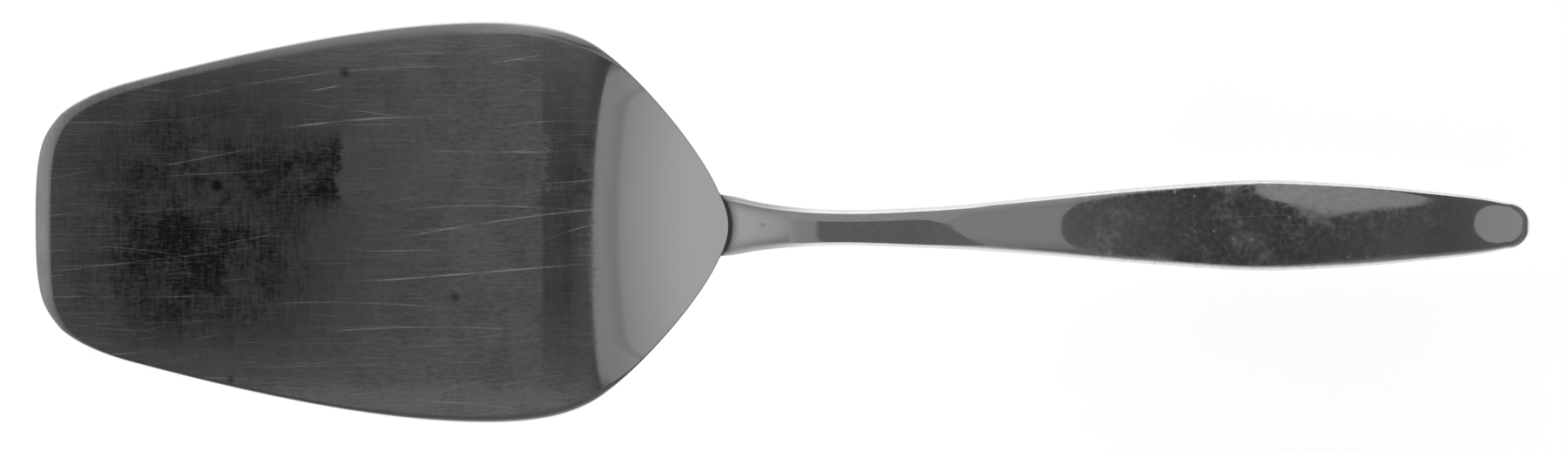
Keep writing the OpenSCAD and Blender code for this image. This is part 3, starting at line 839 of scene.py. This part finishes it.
def round_off(x, reach, inset):
    """The rounded end is a quarter of an ellipse, one wall shorter on the inside."""
    share = np.maximum(0, x - tail_x + reach) / (reach - inset)
    return np.sqrt(np.maximum(0, 1 - share ** 2))


def lip(x):
    share = np.clip((mouth_x + lip_len - x) / lip_len, 0, 1)
    return lip_h * (1 - np.sqrt(1 - share ** 2))


def half_w(x, inset=0):
    return (track(width_rows, np.minimum(x, cap_x)) - inset) * round_off(x, tail_round, inset)


def half_t(x, inset=0):
    half = track(thick_rows, np.minimum(x, cap_x)) - lip(x) - inset
    return half * np.hypot(1, slope(x)) * round_off(x, tail_roll, inset)


def spine(x):
    return sheet - mouth_half_rise + climb(x)


def unit_section(count, power_here, end=math.pi):
    """Points of a flat-topped unit section up to an angle, evenly turned."""
    turn = np.linspace(0, end, count)
    c, s = np.cos(turn), np.sin(turn)
    reach = (np.abs(c) ** power_here + np.abs(s) ** power_here) ** (-1 / power_here)
    return c * reach, s * reach


def loft(name, rings, material):
    """A closed mesh through rings of equal count, smooth but for its sharp edges."""
    count = len(rings[0])
    mesh = bpy.data.meshes.new(name)
    faces = [list(range(count)), [(len(rings) - 1) * count + i for i in range(count)]]
    for k in range(len(rings) - 1):
        for i in range(count):
            n = (i + 1) % count
            faces.append((k * count + i, k * count + n, (k + 1) * count + n, (k + 1) * count + i))
    mesh.from_pydata([tuple(p) for ring in rings for p in ring], [], faces)
    return finished(name, mesh, material)


def finished(name, mesh, material):
    """Doubles merged, faces outwards, smooth but for its sharp edges."""
    shape = bmesh.new()
    shape.from_mesh(mesh)
    bmesh.ops.remove_doubles(shape, verts=shape.verts, dist=weld)
    bmesh.ops.recalc_face_normals(shape, faces=shape.faces)
    shape.to_mesh(mesh)
    shape.free()
    mesh.polygons.foreach_set("use_smooth", [True] * len(mesh.polygons))
    mesh.set_sharp_from_angle(angle=sharp_angle)
    mesh.materials.clear()
    return new_piece(name, mesh, material)


half_ring_steps = 24


def closed_section(x0, half_width, half_height, power_here):
    """A whole ring round the handle's middle line at one place."""
    y, rise = unit_section(2 * half_ring_steps + 1, power_here, 2 * math.pi)
    y, rise = y[:-1] * half_width, rise[:-1] * half_height
    x = x0 + bow(x0, y)
    return np.column_stack([x, y, spine(x) + rise])


tongue_width_shares = [(0, 0), (0.02, 0.16), (0.1, 0.32), (0.45, 0.66), (1, 1)]
tongue_depth_shares = [(0, 0), (0.25, 0.13), (0.65, 0.5), (1, 1)]
mouth_depth = 2 * half_t(mouth_x) - sheet * math.hypot(1, seam_slope) - braze_t


def tongue_half_w(s):
    return mix(tongue_tip_w, mouth_w - 2 * tongue_margin, track(tongue_width_shares, s)) / 2


def tongue_ring(s):
    """The tongue's flat top under the braze, and its rounded belly."""
    depth = mix(tongue_tip_t, mouth_depth - tongue_margin, track(tongue_depth_shares, s))
    half = tongue_half_w(s)
    c, drop = unit_section(half_ring_steps + 1, mouth_power)
    y = np.concatenate([np.linspace(half, -half, half_ring_steps + 1), half * c[-2:0:-1]])
    drop = np.concatenate([np.zeros(half_ring_steps + 1), depth * drop[-2:0:-1]])
    x0 = mix(tongue_x, mouth_x, s)
    x = x0 + bow(x0, y)
    return np.column_stack([x, y, blade_under(x, y) - braze_t - drop])


plug_x = mouth_x + plug_len
tang_x = mouth_x + tang_len
plug_inset = shell_wall + plug_gap
tip_crowding = 1.5
tongue_shares = np.linspace(0, 1, 40) ** tip_crowding
plug_places = np.linspace(mouth_x + seam_gap, plug_x, 12)
tang_places = np.linspace(plug_x, tang_x, 30)
tang_power = 7
bolster_rings = [tongue_ring(s) for s in tongue_shares]
bolster_rings += [closed_section(x, half_w(x, plug_inset), half_t(x, plug_inset), power(x))
                  for x in plug_places]
bolster_rings += [closed_section(x, tang_w / 2, tang_t / 2 * math.hypot(1, slope(x)), tang_power)
                  for x in tang_places]

bolster_steel, tree = new_material("bolster_steel")
spot = in_millimetres(tree)
filed = haze(spot, 1.2, 0.4, 0.7, stretch=(0.2, 3.0, 3.0))
clouds = haze(spot, 0.3, 0.4, 0.7)
dress(tones(clouds, [(0, 0.6), (1, 0.5)]), scaled(filed, 0.14, scaled(clouds, 0.1, 0.16)), filed, 0.01 * MM)
bolster = loft("bolster_tang", bolster_rings, bolster_steel)
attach(bolster, "root")
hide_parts("bolster_tang")

# Braze: a thin skin of yellow brazing metal between the tongue and the underside of the
# shoulder. It was drawn in by heat, and a little of it stands round the tongue as a bead.
bead_w = 0.35 * MM
bead_h = 0.3 * MM


def braze_ring(s):
    half = tongue_half_w(s)
    x0 = mix(tongue_x, mouth_x, s)
    y = np.array([-half - bead_w, -half - 0.5 * bead_w, -half, 0, half, half + 0.5 * bead_w,
                  half + bead_w, 0.6 * half, 0, -0.6 * half])
    drop = np.array([0, 0.35 * bead_h, bead_h, braze_t, bead_h, 0.35 * bead_h, 0, 0, 0, 0])
    x = x0 + bow(x0, np.clip(y, -mouth_w / 2, mouth_w / 2))
    return np.column_stack([x, y, blade_under(x, y) - drop])


braze_surface, tree = new_material("braze")
dull = haze(in_millimetres(tree), 0.8, 0.35, 0.7)
braze_tone = blend(dull, (0.72, 0.62, 0.4, 1), (0.5, 0.43, 0.3, 1))
dress(braze_tone, scaled(dull, 0.25, 0.3), dull, 0.02 * MM)
braze = loft("blade_braze", [braze_ring(s) for s in tongue_shares], braze_surface)
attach(braze, "root")
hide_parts("blade_braze")

# Cement: dark resin packed hot round the tang. It fills the handle's front half and
# shows only as a hairline in the seam.
cement_surface, tree = new_material("cement")
grit = haze(in_millimetres(tree), 1.5, 0.3, 0.7)
cement_tone = blend(grit, (0.035, 0.03, 0.026, 1), (0.09, 0.08, 0.07, 1))
dress(cement_tone, scaled(grit, 0.2, 0.7), grit, 0.05 * MM, metallic=0.0)
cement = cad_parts["handle_cement"]
cement.data.materials.clear()
cement.data.materials.append(cement_surface)

# Handle, lower half: struck from nickel silver sheet, one wall thick, and trimmed at
# the parting line. Its lip stands a little over the bolster's plug.
ring_step = 0.9 * MM
cap_gap = 0.4 * MM
round_rings = 16
lip_crowding = 1.6
outer_run = np.concatenate([
    mouth_x + seam_gap + (lip_len - seam_gap) * np.linspace(0, 1, round_rings) ** lip_crowding,
    np.arange(mouth_x + lip_len + ring_step, cap_x - cap_gap, ring_step),
    cap_x + tail_round * np.sin(np.linspace(0, math.pi / 2, round_rings))])
past_cap = np.clip((outer_run - cap_x) / tail_round, 0, 1)
inner_run = np.where(outer_run > cap_x, cap_x + (tail_round - shell_wall) * past_cap, outer_run)


def rail_mesh():
    """One point for each place along the handle, with the two skins' sizes on it."""
    columns = {"section": np.column_stack([power(outer_run), bow(outer_run, 0), 0 * outer_run])}
    for skin, run, inset in (("outer", outer_run, 0), ("inner", inner_run, shell_wall)):
        columns[skin] = np.column_stack([run, half_w(run, inset), half_t(run, inset)])
        columns[skin + "_line"] = np.column_stack([spine(run), slope(run), np.gradient(slope(run), run)])
    # One more row at the start, midway between the skins, closes the lip
    columns = {name: np.vstack([rows[:1], rows]) for name, rows in columns.items()}
    columns["outer"][0] = columns["inner"][0] = (columns["outer"][0] + columns["inner"][0]) / 2
    links = [(i, i + 1) for i in range(len(outer_run))]
    mesh = bpy.data.meshes.new("rail")
    mesh.from_pydata([(x, 0, 0) for x in columns["outer"][:, 0]], links, [])
    for name, values in columns.items():
        held = mesh.attributes.new(name, "FLOAT_VECTOR", "POINT")
        held.data.foreach_set("vector", values.ravel())
    return mesh


# Geometry Nodes tree for a half shell. Columns of the grid run round the outer skin
# from one parting edge to the other, and back along the inner skin.
section_steps = 64
shell_tree = bpy.data.node_groups.new("half_shell", "GeometryNodeTree")
shell_tree.interface.new_socket(name="Shell", in_out="OUTPUT", socket_type="NodeSocketGeometry")
given = group_inputs(shell_tree, [
    ("Rail", "Geometry"), ("Side", "Float", 1.0), ("Steps", "Int", section_steps),
    ("Parting", "Float", solder_t / 2), ("Seam Half Width", "Float", mouth_w / 2), ("Metal", "Material")])
tree = shell_tree
size = add(tree, "GeometryNodeAttributeDomainSize", {0: given["Rail"]}).outputs["Point Count"]
columns = scaled(given["Steps"], 2.0, 3.0)
sheet_grid = add(tree, "GeometryNodeMeshGrid", {"Vertices X": size, "Vertices Y": columns}).outputs
at = xyz(sheet_grid["UV Map"])
row = calc("ROUND", times(at["X"], less(size, 1.0)))
column = calc("ROUND", times(at["Y"], less(columns, 1.0)))
past_outer = calc("GREATER_THAN", column, plus(given["Steps"], 0.5))
before_wrap = calc("LESS_THAN", column, less(columns, 1.5))
is_inner = times(past_outer, before_wrap)
back = less(less(columns, 2.0), column)
on = calc("MODULO", column, less(columns, 1.0))


def choose(a, b):
    """A number of the outer skin, or of the inner one."""
    return plus(times(a, less(1.0, is_inner)), times(b, is_inner))


def sampled(name):
    """A vector of the rail at this row."""
    held = add(tree, "GeometryNodeInputNamedAttribute", {"Name": name}, data_type="FLOAT_VECTOR")
    return xyz(put(tree, "GeometryNodeSampleIndex", {
        "Geometry": given["Rail"], "Value": held.outputs["Attribute"], "Index": row},
        data_type="FLOAT_VECTOR", domain="POINT"))


outer, inner, outer_line, inner_line, section = (
    sampled(name) for name in ("outer", "inner", "outer_line", "inner_line", "section"))
x0, across, up = (choose(outer[k], inner[k]) for k in ("X", "Y", "Z"))
level, incline, curve = (choose(outer_line[k], inner_line[k]) for k in ("X", "Y", "Z"))
turn = times(over(choose(on, back), given["Steps"]), math.pi)
c = calc("COSINE", turn)
s = calc("MAXIMUM", calc("SINE", turn), 0.0)
squareness = section["X"]
reach = plus(calc("POWER", calc("ABSOLUTE", c), squareness), calc("POWER", s, squareness))
reach = calc("POWER", reach, over(-1.0, squareness))
y = times(c, reach, across)
rise = times(s, reach, calc("MAXIMUM", less(up, given["Parting"]), 0.0))
y_share = over(y, given["Seam Half Width"])
bowed = times(section["Y"], less(1.0, times(y_share, y_share)))
line = plus(level, times(incline, bowed))
line = plus(line, times(times(curve, 0.5), times(bowed, bowed)))
z = plus(line, times(given["Side"], plus(rise, given["Parting"])))
place = vector(plus(x0, bowed), times(y, given["Side"]), z)
shaped = put(tree, "GeometryNodeSetPosition", {"Geometry": sheet_grid["Mesh"], "Position": place})
closed = put(tree, "GeometryNodeMergeByDistance", {"Geometry": shaped, "Distance": weld})
real = put(tree, "GeometryNodeRealizeInstances", {"Geometry": closed})
dressed = put(tree, "GeometryNodeSetMaterial", {"Geometry": real, "Material": given["Metal"]})
add(tree, "NodeGroupOutput", {"Shell": dressed})


def grown(name, base, tree, values):
    """The plain mesh that a Geometry Nodes tree makes from a base mesh."""
    seed = new_piece(name + "_seed", base)
    modifier = seed.modifiers.new("build", "NODES")
    modifier.node_group = tree
    for item in tree.interface.items_tree:
        if item.in_out == "INPUT" and item.name in values:
            modifier[item.identifier] = values[item.name]
    view = bpy.context.evaluated_depsgraph_get()
    mesh = bpy.data.meshes.new_from_object(seed.evaluated_get(view))
    mesh.name = name
    seed.modifiers.clear()
    bpy.data.objects.remove(seed)
    return mesh


silver_grey = 0.74
mark_centre = (mouth_x / MM + 6.9, 0.35, 0)
handle_silver, tree = new_material("handle_silver")
spot = in_millimetres(tree)
at = xyz(spot)
along = over(less(at["X"], mouth_x / MM), handle_len / MM)
scratched = strokes_of(spot, [
    (20, 7, 1.2, 0.08, 0.6, 0.5, 21), (75, 6, 1.1, 0.08, 0.6, 0.4, 22), (-35, 8, 1.3, 0.08, 0.6, 0.5, 23),
    (-70, 5, 1.1, 0.08, 0.6, 0.4, 24), (3, 16, 1.8, 0.1, 0.5, 0.6, 25), (48, 4, 1, 0.08, 0.6, 0.5, 26)], 0.8)
clouds = haze(spot, 0.16, 0.44, 0.74)
grain = haze(spot, 1.1, 0.34, 0.7)
specks = effect(spot_group, spot, Pitch=3.1, Size=0.42, Share=0.25, Seed=9.0)
# The hand dulls the belly most
handled = profile(along, [(0, 0.05), (0.12, 0.05), (0.16, 0.5), (0.26, 0.4), (0.3, 0.1),
                          (0.42, 0.1), (0.45, 0.9), (0.6, 1), (0.88, 0.8), (0.93, 0.2), (1, 0.1)])
worn = scaled(specks, 0.4, scaled(grain, 0.1, times(clouds, 0.2)))
worn = times(scaled(scratched, 0.35, worn), handled)
# Painted shade: the handle darkens towards the seam at the mouth
seam_share = over(at["Y"], mouth_w / 2 / MM)
seam_at = scaled(less(1.0, times(seam_share, seam_share)), seam_bow / MM, mouth_x / MM)
seam_shade = profile(less(at["X"], seam_at), [(0.1, 0.3), (0.35, 0.4), (0.6, 0.7), (1.1, 0.84), (2, 1)])
# A faint round mark in the polish behind the mouth
mark_r = add(tree, "ShaderNodeVectorMath", {0: vector(at["X"], at["Y"]), 1: mark_centre},
             operation="DISTANCE").outputs["Value"]
mark = profile(mark_r, [(0, 0.7), (0.25, 0.78), (0.6, 1), (0.9, 0.99), (1.1, 0.96), (1.4, 1)])
cast = times(less(0.5, grain), handled)
silver = times(scaled(cast, -0.16, silver_grey), mark)
# Painted shade: the steep sides of the flare behind the mouth are darkened, so that they mirror less of the
# bright walls
facing = xyz(add(tree, "ShaderNodeTexCoord").outputs["Normal"])
steep_side_shade = profile(calc("ABSOLUTE", facing["Z"]), [(0.2, 1), (0.8, 0.9), (0.95, 0)])
flare_shade_reach = profile(along, [(0, 0.55), (0.06, 0.5), (0.12, 0)])
silver = times(silver, less(1.0, times(steep_side_shade, flare_shade_reach)))
worn = calc("MINIMUM", plus(worn, polish), roughest)
relief = times(plus(grain, specks), handled)
dress(times(silver, seam_shade), worn, relief)


def half_shell(name, side):
    """One half of the handle: side is 1 for the upper and -1 for the lower."""
    mesh = grown(name, rail_mesh(), shell_tree, {"Side": side, "Metal": handle_silver})
    shell = finished(name, mesh, handle_silver)
    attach(shell, "root")
    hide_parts(name)


half_shell("handle_bottom_shell", -1.0)

# Solder: a hairline of soft solder runs round the parting line between the two halves,
# from one side of the mouth round the tail to the other, dressed flush with the shells.
solder_surface, tree = new_material("solder")
dull = haze(in_millimetres(tree), 0.9, 0.35, 0.7)
dress(tones(dull, [(0, 0.7), (1, 0.55)]), scaled(dull, 0.2, 0.25), dull, 0.005 * MM)


def solder_rings():
    """Sections of the solder along one side, round the tail and back along the other."""
    low = solder_t / 2
    skins = [(outer_run, half_w(outer_run), (-low, low)),
             (inner_run, half_w(inner_run, shell_wall), (low, -low))]
    return [[(run[k], side * half[k], spine(run[k]) + up) for run, half, ups in skins for up in ups]
            for side in (1, -1) for k in range(len(outer_run))[::side]]


solder = loft("seam_solder", solder_rings(), solder_surface)
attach(solder, "root")
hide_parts("seam_solder")

# Handle, upper half: struck like the lower one and soldered down on it. This is the
# side that shows, and years of use have crossed its polish with fine scratches.
half_shell("handle_top_shell", 1.0)
